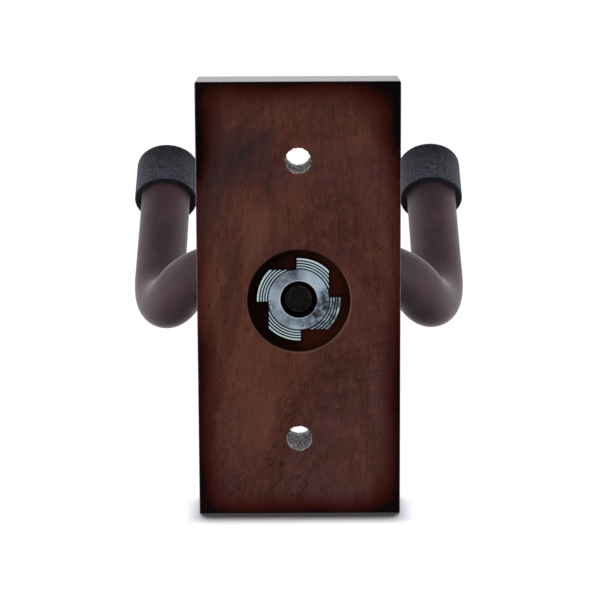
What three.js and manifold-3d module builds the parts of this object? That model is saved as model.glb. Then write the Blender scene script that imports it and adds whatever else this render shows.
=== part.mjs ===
// Wall guitar hanger: a stained hardwood back plate with a tee nut let into its back, and a
// padded steel yoke that screws into the tee nut and is locked by a jam nut.
// Millimetres. +Z is up, +Y runs from the wall out into the room, and +X is the right-hand
// side as seen from behind the plate. The origin is on the stud's axis in the wall plane.

import * as THREE from "three";
import { mergeVertices } from "three/addons/utils/BufferGeometryUtils.js";
import Module from "manifold-3d";

const wasm = await Module();
wasm.setup();

// --- Driving dimensions ---

// Clearances.
const SEAT_GAP = 0.3; // between two faces that rest on each other
const RUNNING_GAP = 0.3; // radial, between a shaft and what it passes through
const PRONG_SLOT_GAP = 0.3; // all round a prong in the wood
const SLEEVE_COLLAR_GAP = 1; // from the yoke's collar to the end of a sleeve

// Back plate.
const PLATE_WIDTH = 52;
const PLATE_HEIGHT = 112;
const PLATE_THICKNESS = 20;
const PLATE_CORNER_RADIUS = 1;
const PLATE_BACK_ROUND = 0.8;
const PLATE_FRONT_ROUND = 2.5;
const SCREW_HOLE_DIAMETER = 6.6;
const SCREW_HOLE_SPACING = 72;
const RECESS_DIAMETER = 26.4;

// Tee nut.
const FLANGE_SET_BACK = 2.4; // from the wall plane to the flange's back face
const FLANGE_DIAMETER = 22;
const FLANGE_THICKNESS = 1.4;
const BARREL_DIAMETER = 10;
const BARREL_LENGTH = 9.5; // beyond the flange
const MOUTH_ROUND = 0.55; // how far the mouth flares out from the bore
const PRONG_COUNT = 4;
const PRONG_WIDTH = 3.1;
const PRONG_LENGTH = 7; // beyond the flange
const PRONG_POINT_LENGTH = 4.5; // the tapered part of that
const PRONG_THICKNESS = 1.2;
const PRONG_OFFSET = 0.8; // of a prong's bend line from the tee nut's centre line
const NOTCH_DEPTH = 3.3; // from the flange's rim to the straight inner edge of a notch

// Stud, washer and jam nut.
const THREAD_DIAMETER = 8;
const STUD_BACK_END = 3.2; // from the wall plane
const STUD_CHAMFER = 1.3;
const STUD_SOCKET_DEPTH = 8; // of the stud's front end in the yoke's collar
const WASHER_DIAMETER = 16;
const WASHER_THICKNESS = 1.6;
const NUT_ACROSS_FLATS = 13;
const NUT_HEIGHT = 6.5;
const NUT_CORNER_CHAMFER = 0.65;

// Yoke rod. Its corners are where the bar's straight axes would meet if it had no bends.
const ROD_DIAMETER = 9.5;
const YOKE_REACH = 57.6; // from the wall plane to the crossbar's axis
const COLLAR_DIAMETER = 17;
const COLLAR_LENGTH = 11; // from the crossbar's axis towards the plate
const COLLAR_CHAMFER = 2;
const SHOULDER_OUT = 28.2; // from the middle of the crossbar to its corner
const KNEE_OUT = 41.6; // from the middle plane
const KNEE_FORWARD = 24.6; // from the crossbar's axis
const KNEE_DROP = 20.9; // below the crossbar's axis
const TIP_OUT = 40.6;
const TIP_FORWARD = 77.5;
const TIP_RISE = 19.4; // above the crossbar's axis
const SHOULDER_BEND = 23; // radii of the bends, to the bar's axis
const KNEE_BEND = 22;

// Sleeves and end caps.
const SLEEVE_WALL = 2.35;
const CAP_DIAMETER = 19;
const CAP_LENGTH = 16;
const CAP_END_WALL = 2.5;
const CAP_END_ROUND = 1.8;
const CAP_RIM_ROUND = 0.4;

// How finely round shapes are faceted.
const ROUND_SIDES = 32;
const SMALL_SIDES = 24;
const TUBE_SIDES = 16;
const TUBE_STEP = 4; // between sections of a bent bar
const FILLET_STEPS = 3;
const CUT_THROUGH = 1; // how far a cutter stands clear of the face it cuts

// --- Sizes that follow from them ---

const flangeRadius = FLANGE_DIAMETER / 2;
const flangeFront = FLANGE_SET_BACK + FLANGE_THICKNESS;
const recessFloor = flangeFront + SEAT_GAP;
const clearBore = THREAD_DIAMETER / 2 + RUNNING_GAP;
const prongMiddle = flangeRadius - NOTCH_DEPTH / 2;
const washerBack = PLATE_THICKNESS + SEAT_GAP;
const nutBack = washerBack + WASHER_THICKNESS + SEAT_GAP;
const collarBack = YOKE_REACH - COLLAR_LENGTH;
const sleeveBore = ROD_DIAMETER / 2 + RUNNING_GAP;
const sleeveRadius = sleeveBore + SLEEVE_WALL;
const sleeveStart = COLLAR_DIAMETER / 2 + SLEEVE_COLLAR_GAP;
const capRadius = CAP_DIAMETER / 2;
const capBore = sleeveRadius + RUNNING_GAP;
const barEndSetBack = CAP_END_WALL + SEAT_GAP; // from a cap's flat end to the bar inside it

// --- Materials ---

const stainedWood = new THREE.MeshStandardMaterial({ color: 0x4a231b, roughness: 0.5 });
const zinc = new THREE.MeshStandardMaterial({ color: 0x8f9aa6, roughness: 0.35, metalness: 1 });
const blackSteel = new THREE.MeshStandardMaterial({ color: 0x2a2c30, roughness: 0.45, metalness: 1 });
const sleeveRubber = new THREE.MeshStandardMaterial({ color: 0x4b3a3a, roughness: 0.55 });
const capRubber = new THREE.MeshStandardMaterial({ color: 0x2b2d33, roughness: 0.8 });

// --- Solids, cuts and joins ---

function solidFrom(geometry) {
  const bare = geometry.clone();
  bare.deleteAttribute("normal");
  bare.deleteAttribute("uv");
  const merged = mergeVertices(bare, 1e-4);
  return new wasm.Manifold(
    new wasm.Mesh({
      numProp: 3,
      vertProperties: merged.attributes.position.array,
      triVerts: new Uint32Array(merged.index.array),
    }),
  );
}

function geometryFrom(solid) {
  const mesh = solid.getMesh();
  const geometry = new THREE.BufferGeometry();
  geometry.setAttribute("position", new THREE.BufferAttribute(mesh.vertProperties, 3));
  geometry.setIndex(new THREE.BufferAttribute(mesh.triVerts, 1));
  const faceted = geometry.toNonIndexed();
  faceted.computeVertexNormals();
  return faceted;
}

// Stands an outline, drawn X to the right and Y up as seen from behind the plate, in the XZ
// plane. The extrusion then runs from frontY back towards the wall.
function standOutline(geometry, frontY) {
  return geometry.rotateX(Math.PI / 2).translate(0, frontY, 0);
}

// A plain round bar along Y.
function roundBar(radius, backY, frontY, sides) {
  const bar = new THREE.CylinderGeometry(radius, radius, frontY - backY, sides);
  return bar.translate(0, (backY + frontY) / 2, 0);
}

// Adds a quarter round to a lathe profile, turning anticlockwise from an angle.
function addRound(profile, radius, centreR, centreY, fromAngle) {
  for (let step = 0; step <= FILLET_STEPS; step++) {
    const angle = fromAngle + (step / FILLET_STEPS) * (Math.PI / 2);
    const r = centreR + radius * Math.cos(angle);
    const y = centreY + radius * Math.sin(angle);
    profile.push(new THREE.Vector2(r, y));
  }
}

function profileOf(...points) {
  return points.map(([r, y]) => new THREE.Vector2(r, y));
}

// --- Back plate ---

// The plate's outline, set in by the round that the extrusion then adds along its edges.
function plateOutline(inset) {
  const halfWidth = PLATE_WIDTH / 2 - inset;
  const halfHeight = PLATE_HEIGHT / 2 - inset;
  const corner = Math.max(PLATE_CORNER_RADIUS - inset, 0);
  const outline = new THREE.Shape();
  for (const [quarter, right, up] of [[0, 1, 1], [1, -1, 1], [2, -1, -1], [3, 1, -1]]) {
    const centreX = right * (halfWidth - corner);
    const centreY = up * (halfHeight - corner);
    const from = (quarter * Math.PI) / 2;
    if (corner > 0) outline.absarc(centreX, centreY, corner, from, from + Math.PI / 2);
    else if (quarter === 0) outline.moveTo(centreX, centreY);
    else outline.lineTo(centreX, centreY);
  }
  outline.closePath();
  return outline;
}

// A block from backY to frontY whose front and back edges are both rounded.
function roundedBlock(edgeRound, backY, frontY) {
  const block = new THREE.ExtrudeGeometry(plateOutline(edgeRound), {
    depth: frontY - backY - 2 * edgeRound,
    bevelThickness: edgeRound,
    bevelSize: edgeRound,
    bevelSegments: FILLET_STEPS,
    curveSegments: FILLET_STEPS,
  });
  return solidFrom(standOutline(block, frontY - edgeRound));
}

// The wood common to a block with the back's rounding and one with the front's.
function plateBlank() {
  const backRounded = roundedBlock(PLATE_BACK_ROUND, 0, PLATE_THICKNESS * 2);
  const frontRounded = roundedBlock(PLATE_FRONT_ROUND, -PLATE_THICKNESS, PLATE_THICKNESS);
  return backRounded.intersect(frontRounded);
}

function cutRoundHole(plate, diameter, centreZ, toY) {
  const cutter = roundBar(diameter / 2, -CUT_THROUGH, toY, ROUND_SIDES);
  return plate.subtract(solidFrom(cutter.translate(0, 0, centreZ)));
}

function makeBackplate() {
  const through = PLATE_THICKNESS + CUT_THROUGH;
  let plate = plateBlank();
  plate = cutRoundHole(plate, SCREW_HOLE_DIAMETER, SCREW_HOLE_SPACING / 2, through);
  plate = cutRoundHole(plate, SCREW_HOLE_DIAMETER, -SCREW_HOLE_SPACING / 2, through);
  plate = cutRoundHole(plate, BARREL_DIAMETER + 2 * RUNNING_GAP, 0, through);
  plate = cutRoundHole(plate, RECESS_DIAMETER, 0, recessFloor);
  for (let index = 0; index < PRONG_COUNT; index++) {
    plate = plate.subtract(prong(index, PRONG_SLOT_GAP));
  }
  return geometryFrom(plate);
}

// --- Tee nut ---

// One pointed prong, grown on every side by a margin when it is used to cut its slot.
function prong(index, margin) {
  const half = PRONG_WIDTH / 2 + margin;
  const root = FLANGE_SET_BACK + FLANGE_THICKNESS / 2;
  const tip = flangeFront + PRONG_LENGTH + margin;
  const outline = new THREE.Shape();
  outline.moveTo(prongMiddle - half, root);
  outline.lineTo(prongMiddle + half, root);
  outline.lineTo(prongMiddle + half, tip - PRONG_POINT_LENGTH);
  outline.lineTo(prongMiddle, tip);
  outline.lineTo(prongMiddle - half, tip - PRONG_POINT_LENGTH);
  outline.closePath();
  const thickness = PRONG_THICKNESS + 2 * margin;
  const blade = new THREE.ExtrudeGeometry(outline, { depth: thickness, bevelEnabled: false });
  blade.rotateY(-Math.PI / 2).translate(PRONG_THICKNESS + margin - PRONG_OFFSET, 0, 0);
  return solidFrom(blade.rotateY((index * 2 * Math.PI) / PRONG_COUNT));
}

// The notch left in the flange where a prong's metal was folded out of it.
function notch(index) {
  const innerEdge = flangeRadius - NOTCH_DEPTH;
  const reach = flangeRadius + CUT_THROUGH;
  const outline = new THREE.Shape();
  outline.moveTo(-PRONG_OFFSET, innerEdge);
  outline.lineTo(-PRONG_OFFSET, reach);
  outline.lineTo(-reach, reach);
  outline.lineTo(-reach, innerEdge);
  outline.closePath();
  const depth = FLANGE_THICKNESS + 2 * CUT_THROUGH;
  const cutter = new THREE.ExtrudeGeometry(outline, { depth, bevelEnabled: false });
  standOutline(cutter, flangeFront + CUT_THROUGH);
  return solidFrom(cutter.rotateY((index * 2 * Math.PI) / PRONG_COUNT));
}

function makeTeeNut() {
  const barrelRadius = BARREL_DIAMETER / 2;
  const barrelFront = flangeFront + BARREL_LENGTH;
  const profile = profileOf(
    [clearBore + MOUTH_ROUND, FLANGE_SET_BACK],
    [flangeRadius, FLANGE_SET_BACK],
    [flangeRadius, flangeFront],
    [barrelRadius, flangeFront],
    [barrelRadius, barrelFront],
    [clearBore, barrelFront],
    [clearBore, FLANGE_SET_BACK + MOUTH_ROUND],
    [clearBore + MOUTH_ROUND, FLANGE_SET_BACK],
  );
  let nut = solidFrom(new THREE.LatheGeometry(profile, ROUND_SIDES));
  for (let index = 0; index < PRONG_COUNT; index++) nut = nut.subtract(notch(index));
  for (let index = 0; index < PRONG_COUNT; index++) nut = nut.add(prong(index, 0));
  return geometryFrom(nut);
}

// --- Stud, washer and jam nut ---

function makeStud() {
  const radius = THREAD_DIAMETER / 2;
  const front = collarBack + STUD_SOCKET_DEPTH - SEAT_GAP;
  const profile = profileOf(
    [0, STUD_BACK_END],
    [radius - STUD_CHAMFER, STUD_BACK_END],
    [radius, STUD_BACK_END + STUD_CHAMFER],
    [radius, front - STUD_CHAMFER],
    [radius - STUD_CHAMFER, front],
    [0, front],
  );
  return new THREE.LatheGeometry(profile, SMALL_SIDES);
}

function makeWasher() {
  const profile = profileOf(
    [clearBore, washerBack],
    [WASHER_DIAMETER / 2, washerBack],
    [WASHER_DIAMETER / 2, washerBack + WASHER_THICKNESS],
    [clearBore, washerBack + WASHER_THICKNESS],
    [clearBore, washerBack],
  );
  return new THREE.LatheGeometry(profile, ROUND_SIDES);
}

// A hexagon bar turned down at its corners and bored for the stud.
function makeJamNut() {
  const flat = NUT_ACROSS_FLATS / 2;
  const corner = flat / Math.cos(Math.PI / 6);
  const nutFront = nutBack + NUT_HEIGHT;
  const turned = profileOf(
    [0, nutBack],
    [flat, nutBack],
    [corner, nutBack + NUT_CORNER_CHAMFER],
    [corner, nutFront - NUT_CORNER_CHAMFER],
    [flat, nutFront],
    [0, nutFront],
  );
  const hexagon = solidFrom(roundBar(corner, nutBack, nutFront, 6));
  const bore = roundBar(clearBore, nutBack - CUT_THROUGH, nutFront + CUT_THROUGH, SMALL_SIDES);
  const blank = hexagon.intersect(solidFrom(new THREE.LatheGeometry(turned, ROUND_SIDES)));
  return geometryFrom(blank.subtract(solidFrom(bore)));
}

// --- Yoke rod ---

// The arc of one bend, from the point where the bar starts to turn.
class RoundBend extends THREE.Curve {
  constructor(start, arrive, leave, radius) {
    super();
    this.axis = arrive.clone().cross(leave).normalize();
    this.turn = arrive.angleTo(leave);
    this.spoke = arrive.clone().cross(this.axis).multiplyScalar(radius);
    this.centre = start.clone().sub(this.spoke);
  }

  getPoint(share, target = new THREE.Vector3()) {
    target.copy(this.spoke).applyAxisAngle(this.axis, this.turn * share);
    return target.add(this.centre);
  }
}

function direction(from, to) {
  return to.clone().sub(from).normalize();
}

// How far before a corner a bend of this radius starts.
function bendSetBack(corners, index, radius) {
  const arrive = direction(corners[index - 1], corners[index]);
  const leave = direction(corners[index], corners[index + 1]);
  return radius * Math.tan(arrive.angleTo(leave) / 2);
}

// Straights and arcs through a list of corners. A bend is tightened where the straight
// between it and the next one is too short for both.
function bentLine(corners, radii) {
  const last = corners.length - 1;
  const setBacks = radii.map((radius, i) => bendSetBack(corners, i + 1, radius));
  const squeeze = (i) => {
    const room = corners[i].distanceTo(corners[i + 1]);
    const wanted = (setBacks[i - 1] ?? 0) + (setBacks[i] ?? 0);
    return Math.min(1, room / wanted);
  };
  const line = new THREE.CurvePath();
  let from = corners[0];
  for (let i = 1; i < last; i++) {
    const share = Math.min(squeeze(i - 1), squeeze(i));
    const arrive = direction(corners[i - 1], corners[i]);
    const leave = direction(corners[i], corners[i + 1]);
    const setBack = setBacks[i - 1] * share;
    const start = corners[i].clone().addScaledVector(arrive, -setBack);
    const end = corners[i].clone().addScaledVector(leave, setBack);
    line.add(new THREE.LineCurve3(from, start));
    line.add(new RoundBend(start, arrive, leave, radii[i - 1] * share));
    from = end;
  }
  line.add(new THREE.LineCurve3(from, corners[last]));
  return line;
}

// The corners of one arm's axis from the crossbar to a point short of the cap's flat end.
// The side is +1 for the right arm and -1 for the left.
function armCorners(side, startOut, endSetBack) {
  const start = new THREE.Vector3(side * startOut, YOKE_REACH, 0);
  const shoulder = new THREE.Vector3(side * SHOULDER_OUT, YOKE_REACH, 0);
  const knee = new THREE.Vector3(side * KNEE_OUT, YOKE_REACH + KNEE_FORWARD, -KNEE_DROP);
  const tip = new THREE.Vector3(side * TIP_OUT, YOKE_REACH + TIP_FORWARD, TIP_RISE);
  const end = tip.addScaledVector(direction(knee, tip), -endSetBack);
  return [start, shoulder, knee, end];
}

function circle(radius, holeRadius) {
  const outline = new THREE.Shape();
  outline.absarc(0, 0, radius, 0, Math.PI * 2);
  if (holeRadius) outline.holes.push(new THREE.Path().absarc(0, 0, holeRadius, 0, Math.PI * 2));
  return outline;
}

function extrudeAlong(line, section) {
  return new THREE.ExtrudeGeometry(section, {
    extrudePath: line,
    steps: Math.round(line.getLength() / TUBE_STEP),
    curveSegments: TUBE_SIDES / 2, // an arc gets two sides for each
  });
}

// The bent bar, its welded-on collar, and the socket in the collar that the stud sits in.
function makeYokeRod() {
  const leftArm = armCorners(-1, 0, barEndSetBack).slice(1).reverse();
  const rightArm = armCorners(1, 0, barEndSetBack).slice(1);
  const radii = [KNEE_BEND, SHOULDER_BEND, SHOULDER_BEND, KNEE_BEND];
  const bar = extrudeAlong(bentLine([...leftArm, ...rightArm], radii), circle(ROD_DIAMETER / 2));
  const collarRadius = COLLAR_DIAMETER / 2;
  const collarFront = YOKE_REACH + ROD_DIAMETER / 2;
  const profile = profileOf(
    [0, collarBack],
    [collarRadius - COLLAR_CHAMFER, collarBack],
    [collarRadius, collarBack + COLLAR_CHAMFER],
    [collarRadius, collarFront - COLLAR_CHAMFER],
    [collarRadius - COLLAR_CHAMFER, collarFront],
    [0, collarFront],
  );
  const collar = solidFrom(new THREE.LatheGeometry(profile, ROUND_SIDES));
  const socketFront = collarBack + STUD_SOCKET_DEPTH;
  const socket = roundBar(clearBore, collarBack - CUT_THROUGH, socketFront, SMALL_SIDES);
  return geometryFrom(solidFrom(bar).add(collar).subtract(solidFrom(socket)));
}

// --- Sleeves and end caps ---

function makeSleeve(side) {
  const corners = armCorners(side, sleeveStart, barEndSetBack);
  const line = bentLine(corners, [SHOULDER_BEND, KNEE_BEND]);
  return extrudeAlong(line, circle(sleeveRadius, sleeveBore));
}

// A cup along Y with the middle of its flat end at the origin and its mouth towards -Y.
function makeCap() {
  const profile = profileOf([0, -CAP_END_WALL], [capBore, -CAP_END_WALL], [capBore, -CAP_LENGTH]);
  const rimCentre = CAP_RIM_ROUND - CAP_LENGTH;
  addRound(profile, CAP_RIM_ROUND, capRadius - CAP_RIM_ROUND, rimCentre, -Math.PI / 2);
  addRound(profile, CAP_END_ROUND, capRadius - CAP_END_ROUND, -CAP_END_ROUND, 0);
  profile.push(new THREE.Vector2(0, 0));
  return new THREE.LatheGeometry(profile, ROUND_SIDES);
}

// --- The hanger ---

const hanger = new THREE.Group();

function addPiece(name, geometry, material, parent = hanger) {
  const piece = new THREE.Mesh(geometry, material);
  piece.name = name;
  parent.add(piece);
}

// A group on the end of an arm whose own +Y runs out along the bar.
function armTip(side) {
  const knee = armCorners(side, 0, 0)[2];
  const tip = armCorners(side, 0, 0)[3];
  const group = new THREE.Group();
  group.position.copy(tip);
  group.quaternion.setFromUnitVectors(new THREE.Vector3(0, 1, 0), direction(knee, tip));
  hanger.add(group);
  return group;
}

addPiece("backplate", makeBackplate(), stainedWood);
addPiece("tee_nut", makeTeeNut(), zinc);
addPiece("stud", makeStud(), blackSteel);
addPiece("flat_washer", makeWasher(), zinc);
addPiece("jam_nut", makeJamNut(), zinc);
addPiece("yoke_rod", makeYokeRod(), blackSteel);
for (const [word, side] of [["left", -1], ["right", 1]]) {
  addPiece(`sleeve_${word}`, makeSleeve(side), sleeveRubber);
  addPiece(`end_cap_${word}`, makeCap(), capRubber, armTip(side));
}

export default hanger;
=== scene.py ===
"""A wall guitar hanger: a stained wooden plate, a tee nut let into its back, and a padded yoke."""
import math

import bmesh
import bpy
from mathutils import Matrix, Vector
from mathutils import noise as lumps


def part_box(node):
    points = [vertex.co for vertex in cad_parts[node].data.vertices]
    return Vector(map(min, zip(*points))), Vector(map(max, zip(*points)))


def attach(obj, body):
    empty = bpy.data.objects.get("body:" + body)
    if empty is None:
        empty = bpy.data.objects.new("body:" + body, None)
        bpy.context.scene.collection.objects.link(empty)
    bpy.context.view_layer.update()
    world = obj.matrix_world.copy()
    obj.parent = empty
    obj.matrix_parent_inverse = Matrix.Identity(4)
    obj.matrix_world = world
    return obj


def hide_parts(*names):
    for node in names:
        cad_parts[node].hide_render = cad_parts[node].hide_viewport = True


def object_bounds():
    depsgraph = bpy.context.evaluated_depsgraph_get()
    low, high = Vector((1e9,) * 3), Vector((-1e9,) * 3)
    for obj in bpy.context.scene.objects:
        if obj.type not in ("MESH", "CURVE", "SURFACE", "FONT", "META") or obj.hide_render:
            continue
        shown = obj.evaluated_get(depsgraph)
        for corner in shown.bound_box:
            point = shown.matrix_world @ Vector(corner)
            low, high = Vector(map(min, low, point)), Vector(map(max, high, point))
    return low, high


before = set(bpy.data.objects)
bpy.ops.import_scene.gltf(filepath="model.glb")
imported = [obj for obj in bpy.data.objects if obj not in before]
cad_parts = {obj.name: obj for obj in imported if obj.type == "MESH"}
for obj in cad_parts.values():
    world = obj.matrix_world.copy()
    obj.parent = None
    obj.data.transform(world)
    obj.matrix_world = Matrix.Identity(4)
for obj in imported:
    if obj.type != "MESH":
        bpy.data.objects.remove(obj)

cad_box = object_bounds()

# ---------------------------------------------------------------------------------------------
# The studio. The hanger stands on the lower end of its plate on a white sheet, seen from its
# back, in soft light from all round it and little from above or below. The sheet has a lamp of
# its own and throws no light back, so it stays white, and only the plate shades it.
# ---------------------------------------------------------------------------------------------

MM = 0.001
CAMERA_PLACE = Vector((0.31 * MM, -569.1 * MM, 101.9 * MM))
CAMERA_DIP = math.radians(10.12)
CAMERA_ROLL = math.radians(-0.27)
CAMERA_LENS = 135.9
CAMERA_FILM = 36
CAMERA_NEAREST = 0.01
FLOOR_HALF = 6.0
FLOOR_COLOUR = (0.2, 0.195, 0.205, 1)
SKY_BEYOND = 1.1
SKY_BEFORE = 0.82
SKY_ABOVE = 0.16
SKY_BELOW = 0.12
LAMP_POWER = 15
LAMP_SPREAD = math.radians(4.2)
LAMP_TILT = math.radians(-3.4)
LAMP_PLACE = (0, 0.1, 1)

view = bpy.data.objects.new("view", bpy.data.cameras.new("view"))
view.data.lens = CAMERA_LENS
view.data.sensor_width = CAMERA_FILM
view.data.clip_start = CAMERA_NEAREST
turn = Matrix.Rotation(math.pi / 2 - CAMERA_DIP, 4, "X") @ Matrix.Rotation(CAMERA_ROLL, 4, "Z")
view.matrix_world = Matrix.Translation(CAMERA_PLACE) @ turn
bpy.context.scene.collection.objects.link(view)
bpy.context.scene.camera = view
bpy.context.scene.view_settings.view_transform = "Standard"

floor_shape = bmesh.new()
bmesh.ops.create_grid(floor_shape, x_segments=2, y_segments=2, size=FLOOR_HALF)
bmesh.ops.translate(floor_shape, verts=floor_shape.verts, vec=(0, 0, cad_box[0][2]))
floor_mesh = bpy.data.meshes.new("floor")
floor_shape.to_mesh(floor_mesh)
floor_shape.free()
floor = bpy.data.objects.new("floor", floor_mesh)
bpy.context.scene.collection.objects.link(floor)
sheet_white = bpy.data.materials.new("sheet_white")
sheet_white.use_nodes = True
sheet_shader = sheet_white.node_tree.nodes["Principled BSDF"]
sheet_shader.inputs["Base Color"].default_value = FLOOR_COLOUR
sheet_shader.inputs["Roughness"].default_value = 1.0
sheet_shader.inputs["Specular IOR Level"].default_value = 0.0
floor_mesh.materials.append(sheet_white)
floor.visible_diffuse = False
floor.visible_glossy = False


class Shade:
    """A number or colour that varies over a surface, as the output of one of its nodes."""

    def __init__(self, nodes, socket):
        self.nodes = nodes
        self.socket = socket

    def maths(self, operation, *values):
        return self.nodes.node("ShaderNodeMath", {"operation": operation}, list(values))

    def __add__(self, other):
        return self.maths("ADD", self, other)

    def __sub__(self, other):
        return self.maths("SUBTRACT", self, other)

    def __mul__(self, other):
        return self.maths("MULTIPLY", self, other)

    def __truediv__(self, other):
        return self.maths("DIVIDE", self, other)

    def __rsub__(self, other):
        return self.maths("SUBTRACT", other, self)

    __radd__ = __add__
    __rmul__ = __mul__

    def __abs__(self):
        return self.maths("ABSOLUTE", self)

    def __pow__(self, power):
        return self.maths("POWER", self, power)

    def least(self, other, blend=0.0):
        """The smaller of two, with the change from one to the other rounded off."""
        return self.maths("SMOOTH_MIN", self, other, blend)

    def most(self, other, blend=0.0):
        """The larger of two, rounded off in the same way."""
        return self.maths("SMOOTH_MAX", self, other, blend)

    def rise(self, low, high):
        """0 up to low, 1 from high on, and a smooth step between them."""
        settings = {"interpolation_type": "SMOOTHSTEP"}
        inputs = {"Value": self, "From Min": low, "From Max": high}
        return self.nodes.node("ShaderNodeMapRange", settings, inputs)


class Nodes:
    """A node tree being put together."""

    def __init__(self, tree):
        self.tree = tree

    def node(self, kind, settings=None, inputs=None, output=0):
        """Any node: its settings first, then the values and links of its sockets."""
        made = self.tree.nodes.new(kind)
        for name, value in (settings or {}).items():
            setattr(made, name, value)
        pairs = enumerate(inputs) if isinstance(inputs, list) else (inputs or {}).items()
        for key, value in pairs:
            if isinstance(value, Shade):
                self.tree.links.new(value.socket, made.inputs[key])
            else:
                made.inputs[key].default_value = value
        return Shade(self, made.outputs[output])

    def parts(self, vector):
        """The X, Y and Z of a vector."""
        first = self.node("ShaderNodeSeparateXYZ", {}, [vector])
        others = first.socket.node.outputs
        return first, Shade(self, others[1]), Shade(self, others[2])


sky = bpy.data.worlds.new("studio")
sky.use_nodes = True
air = Nodes(sky.node_tree)
_, beyond, above = air.parts(air.node("ShaderNodeTexCoord"))
glow = SKY_BEFORE + (SKY_BEYOND - SKY_BEFORE) * beyond.rise(-0.75, 0.1)
glow = glow + (SKY_ABOVE - glow) * above.rise(0.35, 0.95)
glow = glow + (SKY_BELOW - glow) * (1 - above.rise(-0.9, -0.3))
sky.node_tree.links.new(glow.socket, sky.node_tree.nodes["Background"].inputs["Color"])
bpy.context.scene.world = sky

sheet_lamp = bpy.data.objects.new("sheet_lamp", bpy.data.lights.new("sheet_lamp", "SUN"))
sheet_lamp.data.energy = LAMP_POWER
sheet_lamp.data.angle = LAMP_SPREAD
sheet_lamp.rotation_euler = (LAMP_TILT, 0, 0)
sheet_lamp.location = LAMP_PLACE
lit_by_lamp = bpy.data.collections.new("lit_by_lamp")
lit_by_lamp.objects.link(floor)
in_its_way = bpy.data.collections.new("in_its_way")
sheet_lamp.light_linking.receiver_collection = lit_by_lamp
sheet_lamp.light_linking.blocker_collection = in_its_way
bpy.context.scene.collection.objects.link(sheet_lamp)

# ---------------------------------------------------------------------------------------------
# Back plate. A block of hardwood, stained red-brown, shaded nearly black round its edges and
# given a satin varnish. Two screw holes and a round recess are bored in it. The holes' walls are
# bare, torn and grey. The recess is stained dark, with a painted highlight on its lip.
# ---------------------------------------------------------------------------------------------

PLATE_BACK_ROUND = 0.5 * MM
PLATE_FRONT_ROUND = 2.5 * MM
SCREW_HOLE = 3.3 * MM
SCREW_HOLE_RISE = 36 * MM
HOLE_RAGGED = 0.24 * MM
TEARS_ROUND = 1400
TEARS_ALONG = 500
RECESS = 13.2 * MM
RECESS_LIP = 0.35 * MM
BARREL_HOLE = 5.3 * MM
SEAT_GAP = 0.3 * MM
FLANGE_THICKNESS = 1.4 * MM
CUT_CLEAR = 1 * MM
MERGE = 0.001 * MM
BIG_FLAT_FACE = 20 * MM * MM
recess_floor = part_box("tee_nut")[0].y + FLANGE_THICKNESS + SEAT_GAP

# The middle of the log by X and Y, and the foot of a branch by X and Z, in millimetres.
PITH = (9, -24)
BRANCH_FOOT = (26, -46)

# Marks on the plate's back, in millimetres: where each is across and up, how wide and how high it
# is, how far it leans and how strong it is. Smoke darkens one side of the upper half. The pale
# ones are where the stain took less.
SMOKE_MARKS = [
    (-24.5, 37, 4.5, 12, 0.1, 0.85), (-17, 36, 9, 8, 0.6, 0.62), (-13.5, 38, 2.8, 6, 1.15, 0.9),
    (-7, 30, 1.1, 5, 0, 0.5), (-23.5, 23, 3, 9, 0.3, 0.5), (-6.5, 19, 1.4, 8, 0.05, 0.4),
    (-17, 4, 2.0, 16, 0.08, 0.4)]
PALE_MARKS = [
    (-11, 18, 4, 8, 0.1, 0.4), (-12, -16, 6, 8, 0.3, 0.25), (-12, -31, 6, 12, 0.2, 0.4),
    (9, 43, 8, 6, 0, 0.15)]


class Finish(Nodes):
    """A material being put together round its own shader."""

    def __init__(self, name, **constants):
        self.material = bpy.data.materials.new(name)
        self.material.use_nodes = True
        super().__init__(self.material.node_tree)
        self.shader = self.tree.nodes["Principled BSDF"]
        for socket, value in constants.items():
            self.shader.inputs[socket.replace("_", " ")].default_value = value

    def place(self):
        """Where a point is on the piece, in millimetres."""
        spot = self.node("ShaderNodeTexCoord", output=3)
        return self.node("ShaderNodeVectorMath", {"operation": "SCALE"}, {0: spot, "Scale": 1000.0})

    def joined(self, x, y, z):
        return self.node("ShaderNodeCombineXYZ", {}, [x, y, z])

    def stretched(self, vector, scale, shift=(0, 0, 0)):
        return self.node("ShaderNodeMapping", {}, {0: vector, "Location": shift, "Scale": scale})

    def cloud(self, vector, scale, detail=2.0, rough=0.5, warp=0.0):
        """Soft noise from 0 to 1."""
        inputs = {"Vector": vector, "Scale": scale, "Detail": detail}
        inputs.update({"Roughness": rough, "Distortion": warp})
        return self.node("ShaderNodeTexNoise", {}, inputs)

    def mixed(self, mask, under, over):
        """A colour that goes from one to the other as the mask goes from 0 to 1."""
        inputs = {0: mask, 6: under, 7: over}
        return self.node("ShaderNodeMix", {"data_type": "RGBA"}, inputs, output=2)

    def feed(self, socket, value):
        self.tree.links.new(value.socket, self.shader.inputs[socket])

    def relief(self, height, depth):
        """Bumps of that depth in metres, where the height goes from 0 to 1."""
        inputs = {"Strength": 1.0, "Distance": depth, "Height": height}
        self.feed("Normal", self.node("ShaderNodeBump", {}, inputs))


def srgb(red, green, blue):
    """A colour given as 0 to 255, as the linear colour that the shader needs."""
    def linear(level):
        level /= 255
        return level / 12.92 if level <= 0.04045 else ((level + 0.055) / 1.055) ** 2.4
    return (linear(red), linear(green), linear(blue), 1)


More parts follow.
